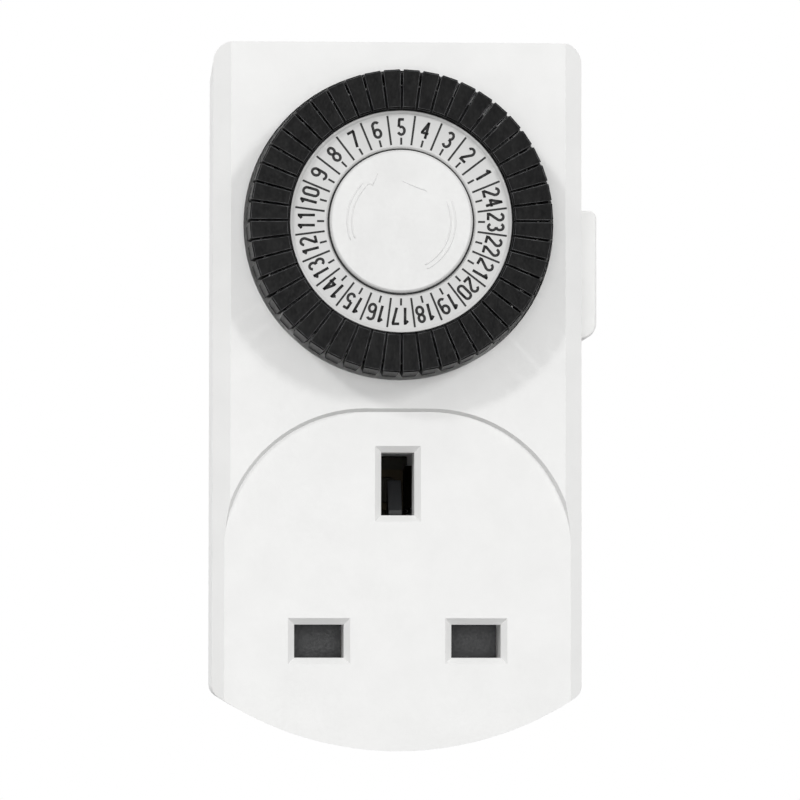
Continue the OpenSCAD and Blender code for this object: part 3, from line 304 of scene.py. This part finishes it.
# %% Floor paint
PALE_FLOOR, DIM_FLOOR = ("#E7E7E6", "#EBEBEA"), "#5C5C5B"
floor_paint = finish_of("pale floor paint", PALE_FLOOR, 0.6, grain_mm=4, bump=0.05, mottle_mm=200)
paint = floor_paint.node_tree
glaze = next(n for n in paint.nodes if n.type == "BSDF_PRINCIPLED")
pale = glaze.inputs["Base Color"].links[0].from_socket
eye = add(paint, "ShaderNodeLightPath")
tone = add(paint, "ShaderNodeMix", [(0, eye.outputs["Is Camera Ray"]), (7, pale)], data_type="RGBA")
tone.inputs[6].default_value = linear(DIM_FLOOR)
paint.links.new(tone.outputs[2], glaze.inputs["Base Color"])
floor.data.materials.append(floor_paint)
print("finishes:", sorted(m.name for m in bpy.data.materials))

# %% [markdown]
# ## Softened mouldings
# A CAD edge is perfectly sharp, and no moulded edge is. Each visible solid is copied, its loose
# triangles are joined and its flat faces merged, and a small rolled bevel is put on its sharp edges.
# The bevel is what catches the thin line of light along each real edge. The copy then stands for
# the CAD node, which stays underneath, hidden.

# %% Helpers: soften a node and place it
SAME_POINT = 0.0005 * MM
FLAT, CREASE = math.radians(0.4), math.radians(75)
EDGE_SEGMENTS, LARGE_FACE_WEIGHT = 2, 80


def plain_mesh(obj, name):
    """The evaluated object as a plain mesh, with its modifiers gone."""
    mesh = bpy.data.meshes.new_from_object(obj.evaluated_get(bpy.context.evaluated_depsgraph_get()))
    mesh.name = name
    return mesh


def joined_copy(node):
    """A copy of a CAD node's mesh with its triangles joined and its flat faces merged."""
    mesh = frame["nodes"][node].data.copy()
    bm = bmesh.new()
    bm.from_mesh(mesh)
    bmesh.ops.remove_doubles(bm, verts=bm.verts, dist=SAME_POINT)
    bmesh.ops.dissolve_limit(bm, angle_limit=FLAT, verts=bm.verts, edges=bm.edges)
    bm.to_mesh(mesh)
    bm.free()
    mesh.materials.clear()
    return mesh


def rolled(mesh, name, width_mm, sharp=28, edge_slot=-1):
    """The mesh with a rolled bevel on every edge sharper than the given angle in degrees. The
    bevel's faces can have a material slot of their own."""
    obj = bpy.data.objects.new(name, mesh)
    scene.collection.objects.link(obj)
    bevel = obj.modifiers.new("rolled edge", "BEVEL")
    bevel.width, bevel.segments, bevel.limit_method = width_mm * MM, EDGE_SEGMENTS, "ANGLE"
    bevel.angle_limit, bevel.use_clamp_overlap = math.radians(sharp), True
    bevel.material = edge_slot
    even = obj.modifiers.new("even shading", "WEIGHTED_NORMAL")
    even.keep_sharp, even.weight = True, LARGE_FACE_WEIGHT
    mesh.shade_smooth()
    mesh.set_sharp_from_angle(angle=CREASE)
    made = plain_mesh(obj, name)
    bpy.data.objects.remove(obj)
    return made


def place(mesh, name, body, slot, material, stands_for=()):
    """Puts a finished mesh into the scene on its body."""
    obj = bpy.data.objects.new(name, mesh)
    scene.collection.objects.link(obj)
    mesh.materials.clear()
    mesh.materials.append(material)
    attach(obj, body)
    if stands_for:
        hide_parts(*stands_for)


# %% [markdown]
# Each piece gets the edge that its tool leaves: large on the slider that a thumb rubs, small on the
# thin ring. The pins take painted shade inside the case, from two millimetres in.

# %% Soften the visible mouldings and pins
PIN_SHADE_FROM_Y = -2 * MM
EDGE_MM = {
    "front_cover": 0.22, "rear_cover": 0.2, "centre_cap": 0.12, "number_ring": 0.08,
    "override_slider": 0.3, "shutter": 0.15, "pin_sleeves": 0.12, "line_pin": 0.15,
    "neutral_pin": 0.15, "earth_pin": 0.2, "case_screws": 0.12, "dial_carrier": 0.08,
}
for node, width in EDGE_MM.items():
    mesh = rolled(joined_copy(node), node + "_soft", width)
    slot = slot_of_node[node]
    place(mesh, node + "_soft", body_of_node[node], slot, finishes[slot], [node])
    # painted shade: pin faces more than two millimetres inside the case take the darkened nickel
    if slot == "nickel_plate":
        mesh.materials.append(shade_painted_nickel)
        for face in mesh.polygons:
            face.material_index = int(face.center.y < PIN_SHADE_FROM_Y)
    print(node, "softened:", len(mesh.polygons), "faces")

# %% [markdown]
# ## Trippers
# One hour's pair of trippers is softened once, and a Geometry Nodes tree turns it round the dial's
# axis to each hour in turn. The turn is the tree's input, so the same pair serves all 24 hours, and
# each result becomes a plain mesh that rides on its own body.

# %% One pair of trippers
HOURS, MODEL_HOUR = 24, 5
HOUR_STEP = 360 // HOURS
TRIPPER_EDGE_MM, TRIPPER_SHARP = 0.07, 35
HIGHLIGHT_AND_WEAR_SLOT = 1
dial_low, dial_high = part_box("number_ring")
axis_x, axis_z = (dial_low.x + dial_high.x) / 2, (dial_low.z + dial_high.z) / 2
pair_mesh = joined_copy("tripper_%02d" % MODEL_HOUR)
for material in (black_acetal, highlight_and_wear_acetal):
    pair_mesh.materials.append(material)
# the bevel faces take the second slot, the acetal with its painted edge highlight
pair = rolled(pair_mesh, "tripper_pair", TRIPPER_EDGE_MM, sharp=TRIPPER_SHARP, edge_slot=HIGHLIGHT_AND_WEAR_SLOT)
pair_slots = [face.material_index for face in pair.polygons]
print("tripper faces on a worn edge with painted highlight:", sum(pair_slots), "of", len(pair_slots))
print("dial axis at x", round(axis_x / MM, 2), "z", round(axis_z / MM, 2), "mm")


# %% Tree that turns a mesh round the dial's axis
def new_tree(name, sockets):
    """An empty Geometry Nodes tree with a Geometry input and output and the given named inputs."""
    t = bpy.data.node_groups.new(name, "GeometryNodeTree")
    t.is_modifier = True
    t.interface.new_socket("Geometry", in_out="INPUT", socket_type="NodeSocketGeometry")
    t.interface.new_socket("Geometry", in_out="OUTPUT", socket_type="NodeSocketGeometry")
    for label, kind, value in sockets:
        made = t.interface.new_socket(label, in_out="INPUT", socket_type=kind)
        if value is not None:
            made.default_value = value
    return t, add(t, "NodeGroupInput"), add(t, "NodeGroupOutput")


def run_tree(tree, name, inputs, base=None):
    """Runs a tree on a base mesh with its inputs set by identifier, and returns a plain mesh."""
    obj = bpy.data.objects.new(name, base.copy() if base else bpy.data.meshes.new(name))
    scene.collection.objects.link(obj)
    mod = obj.modifiers.new(tree.name, "NODES")
    mod.node_group = tree
    for item in tree.interface.items_tree:
        if item.in_out == "INPUT" and item.name in inputs:
            mod[item.identifier] = inputs[item.name]
    made = plain_mesh(obj, name)
    bpy.data.objects.remove(obj)
    return made


turn_tree, given, out = new_tree("turn round the dial", [
    ("Turn", "NodeSocketFloat", 0.0), ("Axis", "NodeSocketVector", (0.0, 0.0, 0.0)),
    ("Material", "NodeSocketMaterial", None)])
back = add(turn_tree, "ShaderNodeVectorMath", [(0, given.outputs["Axis"])], operation="SCALE", Scale=-1.0)
to_axis = add(turn_tree, "GeometryNodeTransform",
              [("Geometry", given.outputs["Geometry"]), ("Translation", back.outputs[0])])
spin = add(turn_tree, "ShaderNodeCombineXYZ", [("Y", given.outputs["Turn"])])
turned = add(turn_tree, "GeometryNodeTransform",
             [("Geometry", to_axis.outputs[0]), ("Rotation", spin.outputs[0]),
              ("Translation", given.outputs["Axis"])])
whole = add(turn_tree, "GeometryNodeRealizeInstances", [("Geometry", turned.outputs[0])])
painted = add(turn_tree, "GeometryNodeSetMaterial",
              [("Geometry", whole.outputs[0]), ("Material", given.outputs["Material"])])
turn_tree.links.new(painted.outputs[0], out.inputs[0])
print("tree:", turn_tree.name, len(turn_tree.nodes), "nodes")

# %% [markdown]
# The hours run anticlockwise from the model pair's own place. The tree paints each copy black, and
# the faces on rolled edges then take the edge finish again, with its painted highlight and wear.

# %% Twenty-four hours of trippers
def clockwise_from_model(hour):
    """How far an hour lies clockwise from the model hour, in radians."""
    return math.radians((MODEL_HOUR - hour) * HOUR_STEP)


for hour in range(1, HOURS + 1):
    name = "tripper_%02d" % hour
    mesh = run_tree(turn_tree, name + "_soft", {
        "Turn": clockwise_from_model(hour), "Axis": (axis_x, 0.0, axis_z),
        "Material": black_acetal}, pair)
    place(mesh, name + "_soft", name, "tripper_plastic", black_acetal, [name])
    # painted highlight: the bevel faces take the lighter edge finish again
    mesh.materials.append(highlight_and_wear_acetal)
    mesh.polygons.foreach_set("material_index", pair_slots)
bpy.data.meshes.remove(pair)
print("trippers:", HOURS, "pairs")

# %% [markdown]
# ## Printing on the number ring
# The ring is printed with black ink: a long line between each two hours, a short tick under each
# number, and the numbers 1 to 24 running anticlockwise with their tops outwards. Lines are boxes a
# few hundredths of a millimetre high, set round the ring by a second tree.

# %% Tree for the hour lines
line_tree, given, out = new_tree("marks round a ring", [
    ("Count", "NodeSocketInt", HOURS), ("Radius", "NodeSocketFloat", 0.01),
    ("Start", "NodeSocketFloat", 0.0), ("Mark Size", "NodeSocketVector", (MM, MM, MM)),
    ("Centre", "NodeSocketVector", (0.0, 0.0, 0.0)), ("Material", "NodeSocketMaterial", None)])
marks = add(line_tree, "GeometryNodeMeshLine", [("Count", given.outputs["Count"])],
            mode="OFFSET", Offset=(0, 0, 0))
number = add(line_tree, "GeometryNodeInputIndex")
step = add(line_tree, "ShaderNodeMath", [(1, given.outputs["Count"])], operation="DIVIDE")
step.inputs[0].default_value = 2 * math.pi
angle = add(line_tree, "ShaderNodeMath",
            [(0, number.outputs[0]), (1, step.outputs[0]), (2, given.outputs["Start"])],
            operation="MULTIPLY_ADD")
across = add(line_tree, "ShaderNodeMath", [(0, angle.outputs[0])], operation="SINE")
upward = add(line_tree, "ShaderNodeMath", [(0, angle.outputs[0])], operation="COSINE")
direction = add(line_tree, "ShaderNodeCombineXYZ",
                [("X", across.outputs[0]), ("Z", upward.outputs[0])])
offset = add(line_tree, "ShaderNodeVectorMath",
             [(0, direction.outputs[0]), ("Scale", given.outputs["Radius"])], operation="SCALE")
spot = add(line_tree, "ShaderNodeVectorMath",
           [(0, offset.outputs[0]), (1, given.outputs["Centre"])], operation="ADD")
points = add(line_tree, "GeometryNodeSetPosition",
             [("Geometry", marks.outputs[0]), ("Position", spot.outputs[0])])
mark = add(line_tree, "GeometryNodeMeshCube", [("Size", given.outputs["Mark Size"])])
facing = add(line_tree, "ShaderNodeCombineXYZ", [("Y", angle.outputs[0])])
copies = add(line_tree, "GeometryNodeInstanceOnPoints",
             [("Points", points.outputs[0]), ("Instance", mark.outputs[0]),
              ("Rotation", facing.outputs[0])])
whole = add(line_tree, "GeometryNodeRealizeInstances", [("Geometry", copies.outputs[0])])
painted = add(line_tree, "GeometryNodeSetMaterial",
              [("Geometry", whole.outputs[0]), ("Material", given.outputs["Material"])])
line_tree.links.new(painted.outputs[0], out.inputs[0])
print("tree:", line_tree.name, len(line_tree.nodes), "nodes")

# %% [markdown]
# The ink is drawn thicker than a real film, so that it stands clear of the face that it is printed
# on. That face lies a quarter of a millimetre behind the ring's raised rim.

# %% Long lines and short ticks
INK_H, RIM_H = 0.03 * MM, 0.25 * MM
LINE_W = 0.28 * MM
LINE_RADIUS, LINE_LEN = 12.9 * MM, 4.15 * MM
TICK_RADIUS, TICK_LEN = 11.3 * MM, 1.0 * MM
PRINT_Y = dial_low.y + RIM_H - INK_H / 2
HALF_STEP = math.radians(HOUR_STEP / 2)
for name, start, radius, length in (
        ("hour_lines", HALF_STEP, LINE_RADIUS, LINE_LEN),
        ("half_hour_ticks", 0.0, TICK_RADIUS, TICK_LEN)):
    mesh = run_tree(line_tree, name, {
        "Count": HOURS, "Radius": radius, "Start": start,
        "Mark Size": (LINE_W, INK_H, length),
        "Centre": (axis_x, PRINT_Y, axis_z), "Material": ink})
    place(mesh, name, "dial", "tripper_plastic", ink)
    print(name, len(mesh.polygons), "faces")

# %% [markdown]
# Narrow plain digits of one even stroke suit a small dial. Each is drawn as lines and arcs along the
# middle of its stroke, given its width as a flattened tube, and set side by side into numbers.

# %% Digits as strokes
HALF_W, HALF_H = 0.46, 1.07
TOP_BOWL, LOW_BOWL = 0.5, 0.55
STROKE, DIGIT_STEP = 0.38, 1.42


def arc(up, half_w, half_h, start, end, count=12):
    """Points on an ellipse whose middle is the given height up, between two angles in degrees."""
    turns = [math.radians(start + (end - start) * i / count) for i in range(count + 1)]
    return [(half_w * math.cos(a), up + half_h * math.sin(a)) for a in turns]


def digit_paths(digit):
    """The strokes of one digit in millimetres, about its middle."""
    w, h, lap = HALF_W, HALF_H, STROKE / 3
    top, low = h - TOP_BOWL, LOW_BOWL - h
    hook = arc(h - w, w, w, 30, 180) + arc(low, w, LOW_BOWL, 180, 540, 24)
    return {
        "0": [arc(h - w, w, w, 0, 180) + arc(w - h, w, w, 180, 360) + [(w, h - w)]],
        "1": [[(-0.28, h - 0.42), (0.14, h)], [(0.14, h + lap), (0.14, -h - lap)]],
        "2": [arc(top, w, TOP_BOWL, 165, -35) + [(-w, lap - h)], [(-w - lap, -h), (w, -h)]],
        "3": [arc(top, 0.92 * w, TOP_BOWL, 155, -90), arc(low, w, LOW_BOWL, 90, -155)],
        "4": [[(0.2, -h - lap), (0.2, h + lap)], [(0.2, h), (-0.45, -0.42)],
              [(-0.45 - lap, -0.42), (0.5, -0.42)]],
        "5": [[(0.38, h), (-0.28 - lap, h)], [(-0.28, h), (-0.34, 0.0)],
              arc(low, w, LOW_BOWL, 125, -155)],
        "6": [hook],
        "7": [[(-w, h), (w + lap, h)], [(w, h), (-0.12, -h - lap)]],
        "8": [arc(top, 0.88 * w, TOP_BOWL, 0, 360, 24), arc(low, w, LOW_BOWL, 0, 360, 24)],
        "9": [[(-x, -y) for x, y in hook]],
    }[digit]


print("strokes of the 4:", len(digit_paths("4")))


# %% Numbers
def number_mesh(value):
    """The strokes of a number as one mesh, flattened to the height of the ink."""
    curve = bpy.data.curves.new("number", "CURVE")
    curve.dimensions, curve.bevel_depth, curve.bevel_resolution = "3D", STROKE / 2 * MM, 1
    curve.use_fill_caps = True
    digits = str(value)
    for i, digit in enumerate(digits):
        shift = (i - (len(digits) - 1) / 2) * DIGIT_STEP
        for path in digit_paths(digit):
            spline = curve.splines.new("POLY")
            spline.points.add(len(path) - 1)
            for point, (x, y) in zip(spline.points, path):
                point.co = ((x + shift) * MM, y * MM, 0, 1)
    obj = bpy.data.objects.new("number", curve)
    scene.collection.objects.link(obj)
    mesh = plain_mesh(obj, "number")
    bpy.data.objects.remove(obj)
    mesh.transform(Matrix.Diagonal((1, 1, INK_H / (STROKE * MM), 1)))
    return mesh


# %% [markdown]
# A number is drawn lying flat, stood up to face the front, moved out to its radius and then turned
# to its hour. All 24 become one mesh, because one pass of ink prints them.

# %% Set the numbers round the ring
NUMBER_RADIUS = 13.3 * MM
stand = Matrix.Rotation(math.pi / 2, 4, "X")
outward = Matrix.Translation((0, 0, NUMBER_RADIUS))
ring_numbers = bmesh.new()
for hour in range(1, HOURS + 1):
    mesh = number_mesh(hour)
    turn = Matrix.Rotation(clockwise_from_model(hour), 4, "Y")
    mesh.transform(Matrix.Translation((axis_x, PRINT_Y, axis_z)) @ turn @ outward @ stand)
    ring_numbers.from_mesh(mesh)
    bpy.data.meshes.remove(mesh)
bmesh.ops.remove_doubles(ring_numbers, verts=ring_numbers.verts, dist=SAME_POINT)
numbers = bpy.data.meshes.new("hour_numbers")
ring_numbers.to_mesh(numbers)
ring_numbers.free()
place(numbers, "hour_numbers", "dial", "tripper_plastic", ink)
print("numbers:", len(numbers.polygons), "faces")

# %% [markdown]
# ## Arrows on the cap
# The cap carries faint moulded ridges that show which way the dial turns. Each is a strip with a
# rounded crown, just under a tenth of a millimetre high, swept along its path.

# %% Helper: a moulded ridge
RIDGE_HALF_W, RIDGE_H, RIDGE_SUNK = 0.13, 0.09, 0.02
END_TAPER = 0.35
CROWN_FACES = 6


def ridge(bm, path, face_y):
    """A crowned strip along a path of (across, up) points in millimetres from the dial's axis."""
    rings = []
    for i, (x, z) in enumerate(path):
        ahead = Vector(path[min(i + 1, len(path) - 1)]) - Vector(path[max(i - 1, 0)])
        side_way = Vector((-ahead.y, ahead.x)).normalized()
        taper = END_TAPER if i in (0, len(path) - 1) else 1.0
        ring = []
        for k in range(CROWN_FACES + 1):
            a = math.pi * k / CROWN_FACES
            w, h = math.cos(a) * RIDGE_HALF_W * taper, math.sin(a) * RIDGE_H * taper
            ring.append(bm.verts.new((axis_x + (x + side_way.x * w) * MM,
                                      face_y + (RIDGE_SUNK - h) * MM,
                                      axis_z + (z + side_way.y * w) * MM)))
        rings.append(ring)
    for a, b in zip(rings, rings[1:]):
        for k in range(CROWN_FACES):
            bm.faces.new((a[k], b[k], b[k + 1], a[k + 1]))
        bm.faces.new((a[-1], b[-1], b[0], a[0]))
    bm.faces.new(list(reversed(rings[0])))
    bm.faces.new(rings[-1])


def round_path(radius, start, end, count=24):
    """Points on a circle between two clock directions in degrees."""
    turns = [math.radians(start + (end - start) * i / count) for i in range(count + 1)]
    return [(radius * math.sin(a), radius * math.cos(a)) for a in turns]


# %% [markdown]
# Two arcs lie side by side on the left and on the right, which makes each arrow's shaft, and two
# short strokes at the top are the arrowheads.

# %% Arrows
SHAFT_RADII = (6.95, 7.6)
LEFT_SHAFT, RIGHT_SHAFT = (249, 315), (66, 152)
LEFT_HEAD = [(-4.9, 4.95), (-4.45, 5.3), (-4.1, 5.05), (-3.6, 6.1), (-3.3, 6.7)]
RIGHT_HEAD = [(0.05, 5.65), (1.2, 5.2), (2.4, 4.72), (3.55, 4.22)]
shafts = [round_path(r, *span) for r in SHAFT_RADII for span in (LEFT_SHAFT, RIGHT_SHAFT)]
cap_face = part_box("centre_cap")[0].y
arrows = bmesh.new()
for path in shafts + [LEFT_HEAD, RIGHT_HEAD]:
    ridge(arrows, path, cap_face)
bmesh.ops.recalc_face_normals(arrows, faces=arrows.faces)
arrow_mesh = bpy.data.meshes.new("cap_arrows")
arrows.to_mesh(arrow_mesh)
arrows.free()
arrow_mesh.shade_smooth()
place(arrow_mesh, "cap_arrows", "case", "cap_plastic", cap_abs)
print("arrows:", len(arrow_mesh.polygons), "faces")

# %% [markdown]
# ## Finishes on the inner pieces
# The gears, contacts and motor inside are hardly seen while the case is closed, so they keep their CAD
# shapes and take their finishes directly. The contacts take brass darkened as painted shade, because
# they are what shows deep in the apertures.

# %% Paint what is left
for node, obj in frame["nodes"].items():
    obj.data.materials.clear()
    # painted shade: the contacts take the darkened brass
    in_painted_shade = node.endswith("_contact")
    obj.data.materials.append(shade_painted_brass if in_painted_shade else finishes[slot_of_node[node]])
print("CAD nodes painted:", len(frame["nodes"]))
